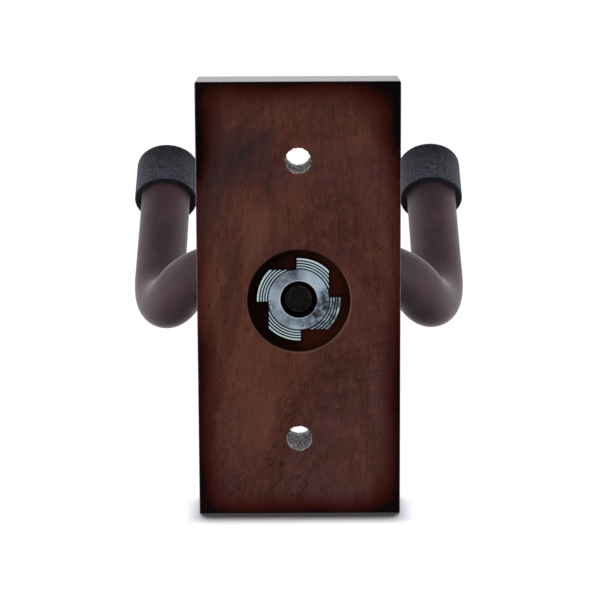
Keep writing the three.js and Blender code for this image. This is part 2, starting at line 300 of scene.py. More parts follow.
def stained_wood():
    """Stain, burst edges, smoke marks, pores and bare bored walls, all on the block's own axes."""
    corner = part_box("backplate")[1]
    half_width = corner.x / MM
    half_height = corner.z / MM
    half_depth = corner.y / 2 / MM
    wood = Finish("stained_wood", Specular_IOR_Level=0.03, Coat_Roughness=0.22)
    spot = wood.place()
    x, y, z = wood.parts(spot)

    # The block was sawn flat from a log whose pith leans away behind it, so that the growth
    # rings arch up the face, run straight on the sides and curve across the ends.
    drift = wood.cloud(wood.stretched(spot, (0.045, 0.045, 0.016)), 1.0, 3.0)
    sway = (drift - 0.5) * 26
    from_pith = ((x - PITH[0] + sway) ** 2 + (y - PITH[1] + z * 0.3 + sway * 0.5) ** 2) ** 0.5
    rings = wood.cloud(wood.joined(from_pith * 0.3, x * 0.012, z * 0.004), 1.0, 3.0, 0.6)
    lean = (z + 18).least(0, 10) * (1 - x.rise(-26, 20)) * 0.4
    swung = wood.joined(x + sway * 0.6 - lean, y, z)
    streaks = wood.cloud(wood.stretched(swung, (0.9, 0.9, 0.025)), 1.0, 4.0, 0.6)
    fibres = wood.cloud(wood.stretched(swung, (4.6, 4.6, 0.45)), 1.0, 3.0, 0.65)
    pores = wood.cloud(wood.stretched(swung, (2.9, 2.9, 0.62)), 1.0, 2.0, 0.65)
    open_grain = (1 - x.rise(-14, 6)) * (1 - z.rise(-30, -8))
    pores = (pores + rings * 0.12 + open_grain * 0.05).rise(0.64, 0.72)
    figure = wood.cloud(wood.stretched(spot, (0.05, 0.05, 0.03), (3.1, 0, 1.7)), 1.0, 4.0, 0.55, 0.5)
    mottle = wood.cloud(wood.stretched(spot, (0.5, 0.5, 0.3)), 1.0, 4.0, 0.65)

    # Low on the face the rings close round the foot of a branch, plum coloured inside them.
    eddy = ((x - BRANCH_FOOT[0]) ** 2 + (z - BRANCH_FOOT[1]) ** 2) ** 0.5
    eddy = eddy + (drift - 0.5) * 10 + (mottle - 0.5) * 2
    waves = wood.cloud(wood.joined(eddy * 0.42, 0, 4.0), 1.0, 3.0, 0.7)
    near_eddy = eddy.rise(18, 28) * (1 - eddy.rise(32, 46))
    body = wood.mixed(figure.rise(0.36, 0.64), srgb(122, 70, 51), srgb(98, 57, 56))
    body = wood.mixed((1 - eddy.rise(27, 32)) * 0.7, body, srgb(104, 66, 66))
    body = wood.mixed(near_eddy * waves.rise(0.48, 0.62) * 0.5, body, srgb(62, 30, 26))
    body = wood.mixed(rings.rise(0.4, 0.66) * 0.55, body, srgb(72, 38, 30))
    body = wood.mixed(streaks.rise(0.42, 0.78) * 0.55, body, srgb(60, 30, 25))
    body = wood.mixed((1 - mottle.rise(0.3, 0.55)) * 0.4, body, srgb(134, 84, 62))
    body = wood.mixed(fibres.rise(0.36, 0.8) * 0.55, body, srgb(44, 22, 19))
    body = wood.mixed(pores * 0.6, body, srgb(24, 11, 10))

    # Every face is shaded towards its edges: red where that starts, then nearly black. How far a
    # point is from its face's edge is the second smallest of its distances inside the block.
    side = half_width - abs(x)
    end = half_height - abs(z)
    depth = half_depth - abs(y - half_depth)
    inward = side.least(end, 13.0).most(side.most(end).least(depth))
    uneven = wood.cloud(wood.stretched(spot, (0.09, 0.09, 0.05)), 1.0, 3.0)
    waist = 1 - abs(z - 12).rise(12, 28)
    shoulders = (1 - abs(z - 44 - x * 0.14).rise(4, 13)) * abs(x).rise(8, 18)
    shaded = inward + waist * 2.0 - shoulders * 1.9 + (uneven - 0.5) * 3.5 + (mottle - 0.5) * 2.0
    body = wood.mixed(1 - shaded.rise(1.0, 7.0), body, srgb(66, 19, 12))
    body = wood.mixed(1 - shaded.rise(-0.8, 2.8), body, srgb(8, 6, 6))

    # Smoke and pale patches, drawn out along the grain. The nearly black edges stay clear of them.
    ragged = wood.cloud(wood.stretched(spot, (0.35, 0.35, 0.06)), 1.0, 5.0, 0.65)

    def patches(marks):
        covered = None
        for across, up, wide, tall, slant, strength in marks:
            reach = ((x - across - (z - up) * slant) / wide) ** 2 + ((z - up) / tall) ** 2
            mark = (1 - (reach + (ragged - 0.5) * 2.8).rise(-0.4, 2.4)) * strength
            covered = mark if covered is None else covered.most(mark, 0.2)
        return covered * (1 - y.rise(4, 9))

    body = wood.mixed(patches(PALE_MARKS) * shaded.rise(3, 8), body, srgb(140, 90, 74))
    body = wood.mixed(patches(SMOKE_MARKS) * shaded.rise(0.5, 5), body, srgb(50, 43, 46))

    # Rubbed spots along the arrises, where the stain has gone, and a painted highlight along the left
    # arris, where light from the left catches its rounding.
    rubbed = wood.cloud(wood.stretched(spot, (0.5, 0.5, 0.35)), 1.0, 4.0, 0.7).rise(0.56, 0.68)
    arris = 1 - side.most(depth).rise(0.25, 0.6)
    # A painted highlight down the left arris only, from light on that side.
    left_arris_highlight = (1 - (x + half_width).rise(0.12, 0.35)) * (z + uneven * 20).rise(14, 30)
    left_arris_highlight = left_arris_highlight * (1 - y.rise(0.4, 0.8)) * (0.3 + 0.7 * mottle.rise(0.42, 0.52))
    body = wood.mixed((arris * rubbed * 0.6).most(left_arris_highlight * 0.7), body, srgb(134, 96, 90))

    # The screw holes' bare grey walls, and the recess, dark red, with a painted highlight on its lip.
    fuzz = wood.cloud(wood.stretched(spot, (1.5, 0.8, 1.5)), 1.0, 5.0, 0.75)
    bare = wood.mixed(fuzz.rise(0.42, 0.54), srgb(104, 88, 82), srgb(255, 255, 255))
    from_hole = (x ** 2 + (abs(z) - SCREW_HOLE_RISE / MM) ** 2) ** 0.5
    hole_wall = (1 - from_hole.rise(SCREW_HOLE / MM + 0.2, SCREW_HOLE / MM + 0.3)) * y.rise(0.02, 0.15)
    from_stud = (x ** 2 + z ** 2) ** 0.5
    in_recess = (1 - from_stud.rise(RECESS / MM - 0.05, RECESS / MM + 0.15)) * y.rise(0.15, 0.5)
    in_recess = in_recess * (1 - y.rise(recess_floor / MM + 0.2, recess_floor / MM + 0.4))
    bored = wood.mixed(fibres.rise(0.3, 0.75), srgb(34, 14, 10), srgb(12, 6, 5))
    bored = wood.mixed(figure.rise(0.48, 0.62) * 0.7, bored, srgb(74, 34, 20))
    body = wood.mixed(in_recess, body, bored)
    # A painted highlight on the recess's lip, on its lower right side only.
    lip_highlight = (1 - abs(from_stud - (RECESS / MM + 0.2)).rise(0.12, 0.3)) * (1 - y.rise(0.5, 0.8))
    body = wood.mixed(lip_highlight * (x - z).rise(-4, 12) * 0.6, body, srgb(136, 98, 80))
    body = wood.mixed(hole_wall, body, bare)
    wood.feed("Base Color", body)

    bored_wall = in_recess.most(hole_wall)
    wood.feed("Coat Weight", y.rise(0.04, 0.3) * (1 - bored_wall) * 0.8)
    wood.feed("Roughness", (0.42 + streaks * 0.12 + pores * 0.2).most(bored_wall * 0.9))
    wood.relief(0.75 - pores * 0.5 - fibres * 0.2 + hole_wall * fuzz * 4, 0.05 * MM)
    return wood.material


def add_piece(name, shape, material, body, node, crease=38):
    """Puts a finished shape in the place of its CAD node, smooth but for big flat faces and any
    edge sharper than the crease, in degrees."""
    for face in shape.faces:
        flat = max(abs(part) for part in face.normal) > 0.99999
        face.smooth = not (flat and face.calc_area() > BIG_FLAT_FACE)
    for edge in shape.edges:
        if len(edge.link_faces) == 2:
            edge.smooth = edge.calc_face_angle() < math.radians(crease)
    mesh = bpy.data.meshes.new(name)
    shape.to_mesh(mesh)
    shape.free()
    mesh.materials.append(material)
    piece = bpy.data.objects.new(name, mesh)
    bpy.context.scene.collection.objects.link(piece)
    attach(piece, body)
    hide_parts(node)
    return piece


def worked(shape, tool, operation="DIFFERENCE"):
    """The shape cut by a tool, joined to it, or kept only where they meet. Both are used up."""
    blank = bpy.data.objects.new("blank", bpy.data.meshes.new("blank"))
    cutter = bpy.data.objects.new("cutter", bpy.data.meshes.new("cutter"))
    for thing, form in ((blank, shape), (cutter, tool)):
        form.to_mesh(thing.data)
        form.free()
        bpy.context.scene.collection.objects.link(thing)
    cut = blank.modifiers.new("cut", "BOOLEAN")
    cut.operation = operation
    cut.solver = "EXACT"
    cut.object = cutter
    result = bmesh.new()
    result.from_object(blank, bpy.context.evaluated_depsgraph_get())
    for thing in (blank, cutter):
        mesh = thing.data
        bpy.data.objects.remove(thing)
        bpy.data.meshes.remove(mesh)
    bmesh.ops.remove_doubles(result, verts=result.verts, dist=MERGE / 2)
    return result


def together(whole, *others):
    """Separate shapes as one, which the others are used up in."""
    for other in others:
        mesh = bpy.data.meshes.new("other")
        other.to_mesh(mesh)
        other.free()
        whole.from_mesh(mesh)
        bpy.data.meshes.remove(mesh)
    return whole


def turned(profile, steps=128):
    """An outline of (radius, Y) points turned about the Y axis. It closes on itself or on the axis."""
    shape = bmesh.new()
    points = [shape.verts.new((radius, along, 0)) for radius, along in profile]
    pairs = list(zip(points, points[1:] + points[:1]))
    if profile[0][0] == 0:
        pairs.pop()
    edges = [shape.edges.new(pair) for pair in pairs]
    bmesh.ops.spin(shape, geom=points + edges, cent=(0, 0, 0), axis=(0, 1, 0),
                   angle=math.tau, steps=steps, use_merge=True)
    bmesh.ops.remove_doubles(shape, verts=shape.verts, dist=MERGE)
    bmesh.ops.recalc_face_normals(shape, faces=shape.faces)
    return shape


def block(low, high):
    """A plain box between two corners."""
    low, high = Vector(low), Vector(high)
    shape = bmesh.new()
    middle = Matrix.Translation((low + high) / 2)
    bmesh.ops.create_cube(shape, size=1, matrix=middle @ Matrix.Diagonal((*(high - low), 1)))
    return shape


def round_edges(shape, chosen, radius, segments):
    bmesh.ops.bevel(shape, geom=chosen, offset=radius, segments=segments, profile=0.5,
                    affect="EDGES", material=-1)


def edges_at(shape, axis, place):
    """The edges that lie in the plane at that place on an axis."""
    return [edge for edge in shape.edges
            if all(abs(point.co[axis] - place) < 0.01 * MM for point in edge.verts)]


def ragged_bore(height, depth, seed):
    """A screw hole's cutter: a bored wall with torn fibres."""
    shape = bmesh.new()
    bmesh.ops.create_cone(shape, cap_ends=True, segments=72, radius1=SCREW_HOLE,
                          radius2=SCREW_HOLE, depth=depth + 2 * CUT_CLEAR,
                          matrix=Matrix.Rotation(math.pi / 2, 4, "X"))
    walls = [edge for edge in shape.edges
             if abs(edge.verts[0].co.y - edge.verts[1].co.y) > CUT_CLEAR]
    bmesh.ops.subdivide_edges(shape, edges=walls, cuts=24)
    for point in shape.verts:
        x, y, z = point.co
        torn = lumps.noise(Vector((x * TEARS_ROUND, y * TEARS_ALONG + seed, z * TEARS_ROUND)))
        spread = 1 + torn * HOLE_RAGGED / SCREW_HOLE
        point.co.x *= spread
        point.co.z *= spread
    bmesh.ops.translate(shape, verts=shape.verts, vec=(0, depth / 2, height))
    return shape


def wooden_plate():
    low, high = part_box("backplate")
    shape = block(low, high)
    round_edges(shape, edges_at(shape, 1, high.y), PLATE_FRONT_ROUND, 10)
    sharp = [edge for edge in shape.edges if edge.calc_face_angle() > math.radians(25)]
    round_edges(shape, sharp, PLATE_BACK_ROUND, 6)
    recess = turned([
        (0, -CUT_CLEAR), (RECESS + RECESS_LIP + CUT_CLEAR, -CUT_CLEAR), (RECESS, RECESS_LIP),
        (RECESS, recess_floor), (BARREL_HOLE, recess_floor), (BARREL_HOLE, high.y + CUT_CLEAR),
        (0, high.y + CUT_CLEAR)])
    upper = ragged_bore(SCREW_HOLE_RISE, high.y, 3.0)
    lower = ragged_bore(-SCREW_HOLE_RISE, high.y, 9.0)
    return worked(shape, together(recess, upper, lower))


plate = add_piece("wooden_plate", wooden_plate(), stained_wood(), "plate", "backplate")
in_its_way.objects.link(plate)

# ---------------------------------------------------------------------------------------------
# Tee nut. Stamped from sheet steel and zinc plated: a flange with pressed rings, four prongs
# sheared out of its rim and folded down into the wood, and a drawn barrel with an M8 thread.
# ---------------------------------------------------------------------------------------------

THREAD_PITCH = 1.25 * MM
NUT_CREST = 4.12 * MM
NUT_ROOT = 4.45 * MM
RUN_OUT_TURNS = 2
MOUTH = 4.85 * MM
MOUTH_ROUND = 0.15 * MM
MOUTH_DEPTH = 1.4 * MM
RING_START = 8.0 * MM
RING_PITCH = 0.68 * MM
VALLEY_SHARE = 0.34
RING_COUNT = 4
RING_DEPTH = 0.2 * MM
FLANGE_RADIUS = 11 * MM
RIM_ROUND = 0.5 * MM
RIM_CHAMFER = 0.2 * MM
BARREL_RADIUS = 5 * MM
BARREL_LENGTH = 9.5 * MM
BARREL_FILLET = 0.4 * MM
BARREL_CHAMFER = 0.3 * MM
THREAD_START = 1.5 * MM
THREAD_OVERLAP = 0.05 * MM
PRONG_COUNT = 4
PRONG_WIDTH = 3.1 * MM
PRONG_POINT = 4.5 * MM
PRONG_THICKNESS = 1.2 * MM
PRONG_OFFSET = 0.8 * MM
PRONG_FOLD = 0.8 * MM
PRONG_SUNK = 0.03 * MM
PRONG_LENGTH = 7 * MM
FOLD_SHOWS = 0.35 * MM
NOTCH_EDGE = 7.7 * MM
TORN_SPOTS = [(-1.6, 7.2), (7.2, 1.6), (1.6, -7.2), (-7.2, -1.6)]


def arc(centre, radius, start, end, steps=5):
    """Points of a round stretch of an outline, from one angle in degrees to another."""
    angles = [math.radians(start + (end - start) * step / steps) for step in range(steps + 1)]
    return [(centre[0] + radius * math.cos(angle), centre[1] + radius * math.sin(angle))
            for angle in angles]


def helix(crest, root, start, end, steps=48):
    """A threaded bar. It runs on past each end, where its faces are rough, to be cut off there."""
    shape = bmesh.new()
    flanks = ((root, 0.06), (crest, 0.44), (crest, 0.56), (root, 0.94))
    turns = math.ceil((end - start) / THREAD_PITCH) + 2 * RUN_OUT_TURNS
    points = [shape.verts.new((radius, start + (turn - RUN_OUT_TURNS + share) * THREAD_PITCH, 0))
              for turn in range(turns) for radius, share in flanks]
    edges = [shape.edges.new(pair) for pair in zip(points, points[1:])]
    bmesh.ops.spin(shape, geom=points + edges, cent=(0, 0, 0), axis=(0, 1, 0),
                   dvec=(0, THREAD_PITCH / steps, 0), angle=math.tau, steps=steps)
    bmesh.ops.remove_doubles(shape, verts=shape.verts, dist=MERGE * 2)
    bmesh.ops.holes_fill(shape, edges=shape.edges, sides=0)
    bmesh.ops.recalc_face_normals(shape, faces=shape.faces)
    return shape


def prong(index, back, tip):
    """One pointed prong, with the round fold where it leaves the flange."""
    inner = FLANGE_RADIUS - (FLANGE_RADIUS - NOTCH_EDGE) / 2 - PRONG_WIDTH / 2
    outer = inner + PRONG_WIDTH
    outline = [(inner, back), (outer, back), (outer, tip - PRONG_POINT),
               ((inner + outer) / 2, tip), (inner, tip - PRONG_POINT)]
    shape = bmesh.new()
    face = shape.faces.new([shape.verts.new((-PRONG_OFFSET, y, z)) for z, y in outline])
    grown = bmesh.ops.extrude_face_region(shape, geom=[face])["geom"]
    moved = [item for item in grown if isinstance(item, bmesh.types.BMVert)]
    bmesh.ops.translate(shape, verts=moved, vec=(PRONG_THICKNESS, 0, 0))
    bmesh.ops.recalc_face_normals(shape, faces=shape.faces)
    fold = [edge for edge in edges_at(shape, 1, back) if edge in edges_at(shape, 0, -PRONG_OFFSET)]
    round_edges(shape, fold, PRONG_FOLD, 6)
    turn = Matrix.Rotation(index * math.tau / PRONG_COUNT, 3, "Y")
    bmesh.ops.rotate(shape, verts=shape.verts, cent=(0, 0, 0), matrix=turn)
    return shape


def notch(index, back):
    """The gap that a prong's metal leaves in the rim."""
    reach = FLANGE_RADIUS + CUT_CLEAR
    shape = block((-reach, back - CUT_CLEAR, NOTCH_EDGE),
                  (FOLD_SHOWS - PRONG_OFFSET, back + FLANGE_THICKNESS + CUT_CLEAR, reach))
    turn = Matrix.Rotation(index * math.tau / PRONG_COUNT, 3, "Y")
    bmesh.ops.rotate(shape, verts=shape.verts, cent=(0, 0, 0), matrix=turn)
    return shape


def tee_nut():
    low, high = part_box("tee_nut")
    back = low.y
    front = back + FLANGE_THICKNESS
    rings = []
    valley = RING_PITCH * VALLEY_SHARE
    for ring in range(RING_COUNT):
        middle = RING_START + ring * RING_PITCH
        rings += [(middle - valley, back), (middle - valley * 0.3, back + RING_DEPTH),
                  (middle + valley * 0.3, back + RING_DEPTH), (middle + valley, back)]
    rim = FLANGE_RADIUS
    bore = MOUTH - MOUTH_ROUND
    bevel = BARREL_CHAMFER
    shape = turned([
        (NUT_CREST, back + MOUTH_DEPTH + bevel), (bore - bevel, back + MOUTH_DEPTH),
        (bore, back + MOUTH_DEPTH - bevel),
        *arc((MOUTH, back + MOUTH_ROUND), MOUTH_ROUND, 180, 270, 3), *rings,
        *arc((rim - RIM_ROUND, back + RIM_ROUND), RIM_ROUND, 270, 360),
        (rim, front - RIM_CHAMFER), (rim - RIM_CHAMFER, front), (BARREL_RADIUS + bevel, front),
        (BARREL_RADIUS, front + BARREL_FILLET), (BARREL_RADIUS, high.y - bevel),
        (BARREL_RADIUS - bevel, high.y), (NUT_CREST + bevel, high.y), (NUT_CREST, high.y - bevel)])
    shape = worked(shape, helix(NUT_ROOT, NUT_CREST - THREAD_OVERLAP, back + THREAD_START,
                                high.y + CUT_CLEAR))
    for index in range(PRONG_COUNT):
        shape = worked(shape, notch(index, back))
    fold = back + RING_DEPTH + PRONG_SUNK
    point = high.y - (BARREL_LENGTH - PRONG_LENGTH)
    for index in range(PRONG_COUNT):
        shape = worked(shape, prong(index, fold, point), "UNION")
    return shape


def zinc_plate(name, rings=False):
    """Zinc over steel: bluish, cloudy and finely scratched, with painted shade and highlights on a
    flange's rings.
    """
    zinc = Finish(name, Metallic=1.0, Specular_IOR_Level=0.5)
    spot = zinc.place()
    x, y, z = zinc.parts(spot)
    clouds = zinc.cloud(spot, 0.55, 4.0, 0.6, 0.3)
    specks = zinc.cloud(spot, 5.0, 3.0, 0.7)
    body = zinc.mixed(clouds.rise(0.3, 0.7), srgb(142, 158, 176), srgb(106, 112, 126))
    body = zinc.mixed(specks.rise(0.45, 0.75) * 0.5, body, srgb(90, 96, 104))
    scratches = zinc.cloud(zinc.stretched(spot, (1.2, 1.2, 14.0)), 1.0, 2.0, 0.6)
    height = specks * 0.5 + scratches.rise(0.6, 0.7) * 0.3
    roughness = 0.28 + clouds * 0.15 + specks * 0.12
    if rings:
        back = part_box("tee_nut")[0].y / MM
        from_stud = (x ** 2 + z ** 2) ** 0.5
        on_back = 1 - y.rise(back + 0.35, back + 0.5)
        across = x / from_stud
        up = z / from_stud

        # Fine rings from the die. Painted reflections lie bright in three places and painted shade,
        # dull and brownish, lies in one, which is also the only rough place.
        grooves = zinc.cloud(zinc.joined(from_stud * 4, x * 0.25, z * 0.25), 1.0, 2.0, 0.6)
        body = zinc.mixed(grooves.rise(0.45, 0.7) * 0.4, body, srgb(116, 126, 142))
        shaded_rough_side = (across * 0.92 - up * 0.38).rise(0.5, 0.98) * clouds.rise(0.25, 0.6) * on_back
        roughness = shaded_rough_side
        body = zinc.mixed(shaded_rough_side * 0.22, body, srgb(92, 88, 100))
        # Painted reflections: three bright sectors of the flange.
        painted_reflection = (across * 0.67 + up * 0.74).rise(0.7, 0.98)
        painted_reflection = painted_reflection.most((0 - up).rise(0.9, 1) * from_stud.rise(6, 7.5))
        painted_reflection = painted_reflection.most((0 - across).rise(0.8, 1) * 0.8) * on_back
        body = zinc.mixed(painted_reflection * 0.4, body, srgb(216, 236, 250))
        # Painted shade in the pressed rings' valleys, and painted highlights on the ring zone between
        # them.
        valley = (y - back).rise(0.03, RING_DEPTH / MM * 0.8) * on_back
        valley = valley * from_stud.rise(MOUTH / MM + 0.5, MOUTH / MM + 0.8)
        body = zinc.mixed(valley * 0.92, body, srgb(24, 32, 36))
        crest_highlight = from_stud.rise(RING_START / MM - 0.3, RING_START / MM - 0.1) * on_back
        body = zinc.mixed(crest_highlight * (1 - valley) * (1 - shaded_rough_side * 0.35) * 0.75, body, srgb(214, 230, 236))

        # A painted highlight round the mouth and painted shade inside it, radial nicks low on one side,
        # and dirt where each prong was torn.
        nicks = zinc.cloud(zinc.joined(across, 0, up), 16.0, 2.0, 0.6).rise(0.5, 0.6)
        nicks = nicks * (x - z).rise(-1, 6)
        near_mouth = 1 - abs(from_stud - MOUTH / MM - 0.3).rise(0.3, 0.9)
        body = zinc.mixed(nicks * near_mouth * on_back * 0.5, body, srgb(70, 74, 80))
        mouth_highlight = 1 - abs(from_stud - MOUTH / MM - 0.06).rise(0.05, 0.16)
        body = zinc.mixed(mouth_highlight * on_back * specks.rise(0.4, 0.55) * 0.8, body, srgb(226, 230, 234))
        # Painted shade inside the bore, below the mouth.
        inside = (1 - from_stud.rise(MOUTH / MM - 0.06, MOUTH / MM)) * y.rise(back + 0.04, back + 0.2)
        body = zinc.mixed(inside * 0.94, body, srgb(18, 16, 19))
        torn = zinc.cloud(spot, 2.2, 4.0, 0.75).rise(0.46, 0.56)
        for right, high in TORN_SPOTS:
            reach = ((x - right) ** 2 + (z - high) ** 2) ** 0.5
            tear = (1 - reach.rise(0.7, 2.3)) * torn * on_back
            body = zinc.mixed(tear * 0.75, body, srgb(44, 42, 46))
            height = height - tear * 0.8
    zinc.feed("Base Color", body)
    zinc.feed("Roughness", roughness)
    zinc.relief(height, 0.04 * MM)
    return zinc.material


add_piece("tee_nut_M8", tee_nut(), zinc_plate("zinc_flange", rings=True), "plate", "tee_nut",
          32)

# ---------------------------------------------------------------------------------------------
# Stud. A length of blackened M8 threaded bar, chamfered at both ends and dished at its back end
# by the thread rolling. It is fixed in the yoke's collar and screws into the tee nut.
# ---------------------------------------------------------------------------------------------

STUD_CREST = 4.0 * MM
STUD_ROOT = 3.3 * MM
STUD_CHAMFER = 1.35 * MM
STUD_DISH = 0.15 * MM
CREST_CLEAR = 0.01 * MM

# The back end's outline, in millimetres out from the flat face's rim and in from the end.
STUD_END_STEPS = [(-0.35, 0.12), (-0.15, 0), (0, 0), (0.12, 0.1), (0.5, 0.4), (0.62, 0.4), (0.75, 0.55)]

# Painted glints in rings on the back end, where its edges catch the light: radius and width in
# millimetres, and how strong each is. The reach is how far from the wall they still show.
STUD_END_GLINTS = [(2.75, 0.12, 0.55), (3.35, 0.25, 0.45), (3.95, 0.14, 0.3)]
STUD_GLINTS_REACH = 5.0


def threaded_stud():
    low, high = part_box("stud")
    face = STUD_CREST - STUD_CHAMFER
    side = STUD_CREST + CREST_CLEAR
    back_end = [(face + out * MM, low.y + inward * MM) for out, inward in STUD_END_STEPS]
    envelope = turned([
        (0, low.y + STUD_DISH), *back_end, (side, low.y + STUD_CHAMFER),
        (side, high.y - STUD_CHAMFER), (face, high.y), (0, high.y)], 96)
    return worked(helix(STUD_CREST, STUD_ROOT, low.y, high.y), envelope, "INTERSECT")


def black_steel(name, glinting_end=False):
    """Blackened steel: dark, a little patchy, brownish where it is rubbed, with painted glints on a
    stud's end.
    """
    steel = Finish(name, Metallic=0.85)
    spot = steel.place()
    clouds = steel.cloud(spot, 0.5, 4.0, 0.65)
    specks = steel.cloud(spot, 3.5, 3.0, 0.7)
    body = steel.mixed(clouds.rise(0.35, 0.7), srgb(9, 9, 11), srgb(23, 21, 22))
    body = steel.mixed(specks.rise(0.6, 0.7) * 0.5, body, srgb(70, 58, 52))
    if glinting_end:
        x, y, z = steel.parts(spot)
        from_stud = (x ** 2 + z ** 2) ** 0.5
        on_end = 1 - y.rise(STUD_GLINTS_REACH, STUD_GLINTS_REACH + 0.1)
        # Painted glints where the end's rims and chamfer catch the light.
        for radius, width, bare in STUD_END_GLINTS:
            ring = (1 - abs(from_stud - radius).rise(width / 2, width)) * on_end
            ring = ring * (0.15 + 0.85 * specks.rise(0.45, 0.6))
            body = steel.mixed(ring * bare, body, srgb(150, 128, 116))
    steel.feed("Base Color", body)
    steel.feed("Roughness", 0.36 + clouds * 0.2)
    steel.relief(specks, 0.03 * MM)
    return steel.material


add_piece("threaded_stud", threaded_stud(), black_steel("blackened_stud", glinting_end=True), "yoke",
          "stud", 32)

# ---------------------------------------------------------------------------------------------
# Washer and jam nut. Zinc-plated steel: a stamped washer with its upper edge rounded by the
# punch, and a hexagon nut turned down at its corners and countersunk at both faces.
# ---------------------------------------------------------------------------------------------

BORE_PLAY = 0.15 * MM
PUNCH_ROUND = 0.35 * MM
WASHER_CHAMFER = 0.1 * MM
NUT_FLATS = 13 * MM
NUT_CORNER = 0.65 * MM
NUT_FACE_INSET = 0.1 * MM
CORNER_CLEAR = 0.05 * MM
SINK_WIDENING = 0.1 * MM
SINK_DEPTH = 0.5 * MM


def flat_washer():
    low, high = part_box("flat_washer")
    bore = NUT_CREST + BORE_PLAY
    rim = high.x
    return turned([(bore, low.y), (rim - WASHER_CHAMFER, low.y), (rim, low.y + WASHER_CHAMFER),
                   *arc((rim - PUNCH_ROUND, high.y - PUNCH_ROUND), PUNCH_ROUND, 0, 90),
                   *arc((bore + PUNCH_ROUND, high.y - PUNCH_ROUND), PUNCH_ROUND, 90, 180)])


def jam_nut():
    low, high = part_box("jam_nut")
    flat = NUT_FLATS / 2
    corner = flat / math.cos(math.pi / 6)
    shape = bmesh.new()
    stand = Matrix.Translation((0, (low.y + high.y) / 2, 0)) @ Matrix.Rotation(math.pi / 2, 4, "X")
    bmesh.ops.create_cone(shape, cap_ends=True, segments=6, radius1=corner, radius2=corner,
                          depth=high.y - low.y, matrix=stand)
    face = flat - NUT_FACE_INSET
    outside = corner + CORNER_CLEAR
    shape = worked(shape, turned([
        (0, low.y), (face, low.y), (outside, low.y + NUT_CORNER), (outside, high.y - NUT_CORNER),
        (face, high.y), (0, high.y)]), "INTERSECT")
    sink = NUT_ROOT + SINK_WIDENING
    shape = worked(shape, turned([
        (0, low.y - CUT_CLEAR), (sink, low.y - CUT_CLEAR), (sink, low.y),
        (NUT_CREST, low.y + SINK_DEPTH), (NUT_CREST, high.y - SINK_DEPTH), (sink, high.y),
        (sink, high.y + CUT_CLEAR), (0, high.y + CUT_CLEAR)], 96))
    return worked(shape, helix(NUT_ROOT, NUT_CREST - THREAD_OVERLAP, low.y, high.y))


bright_zinc = zinc_plate("bright_zinc")
add_piece("stamped_washer", flat_washer(), bright_zinc, "washer", "flat_washer")
add_piece("hexagon_nut", jam_nut(), bright_zinc, "nut", "jam_nut", 25)

# ---------------------------------------------------------------------------------------------
# Yoke bar. A round steel bar bent into two upturned arms and blackened. A turned collar is
# welded over the middle of it, and is bored from the back for the stud.
# ---------------------------------------------------------------------------------------------

BAR_RADIUS = 4.75 * MM
COLLAR_RADIUS = 8.5 * MM
COLLAR_CHAMFER = 2 * MM
SOCKET_DEPTH = 8 * MM
WELD_RADIUS = 0.95 * MM
WELD_RIPPLES = 14
WELD_RIPPLE = 0.11 * MM
CROSSBAR_REACH = 57.6 * MM
SHOULDER_OUT = 28.2 * MM
SHOULDER_BEND = 23 * MM
KNEE_OUT = 41.6 * MM
KNEE_FORWARD = 24.6 * MM
KNEE_DROP = 20.9 * MM
KNEE_BEND = 22 * MM
TIP_OUT = 40.6 * MM
TIP_FORWARD = 77.5 * MM
TIP_RISE = 19.4 * MM
CAP_WALL = 2.5 * MM


def arm_corners(side):
    """Where the straights of an arm's axis would meet, from the middle of the crossbar outwards."""
    return [Vector((0, CROSSBAR_REACH, 0)), Vector((side * SHOULDER_OUT, CROSSBAR_REACH, 0)),
            Vector((side * KNEE_OUT, CROSSBAR_REACH + KNEE_FORWARD, -KNEE_DROP)),
            Vector((side * TIP_OUT, CROSSBAR_REACH + TIP_FORWARD, TIP_RISE))]


def bent_tube(corners, radius, bends, sides, bend_steps=24):
    """A round tube, open at both ends, swept along straights and bends."""
    shape = bmesh.new()
    first = (corners[1] - corners[0]).normalized()
    stand = Matrix.Translation(corners[0]) @ first.to_track_quat("Z", "Y").to_matrix().to_4x4()
    bmesh.ops.create_circle(shape, segments=sides, radius=radius, matrix=stand)
    rim = list(shape.edges)
    here = corners[0]

    def run_to(point):
        grown = bmesh.ops.extrude_edge_only(shape, edges=rim)["geom"]
        moved = [item for item in grown if isinstance(item, bmesh.types.BMVert)]
        bmesh.ops.translate(shape, verts=moved, vec=point - here)
        return [item for item in grown if isinstance(item, bmesh.types.BMEdge)
                and all(end in moved for end in item.verts)]

    for index, bend in enumerate(bends, 1):
        arrive = (corners[index] - corners[index - 1]).normalized()
        leave = (corners[index + 1] - corners[index]).normalized()
        angle = arrive.angle(leave)
        axis = arrive.cross(leave).normalized()
        set_back = bend * math.tan(angle / 2)
        rim = run_to(corners[index] - arrive * set_back)
        here = corners[index] - arrive * set_back
        grown = bmesh.ops.spin(shape, geom=rim, cent=here + axis.cross(arrive) * bend, axis=axis,
                               angle=angle, steps=bend_steps)["geom_last"]
        rim = [item for item in grown if isinstance(item, bmesh.types.BMEdge)]
        here = corners[index] + leave * set_back
    rim = run_to(corners[-1])
    bmesh.ops.remove_doubles(shape, verts=shape.verts, dist=MERGE)
    bmesh.ops.recalc_face_normals(shape, faces=shape.faces)
    return shape


def closed_ends(shape):
    bmesh.ops.holes_fill(shape, edges=shape.edges, sides=0)
    bmesh.ops.recalc_face_normals(shape, faces=shape.faces)
    return shape


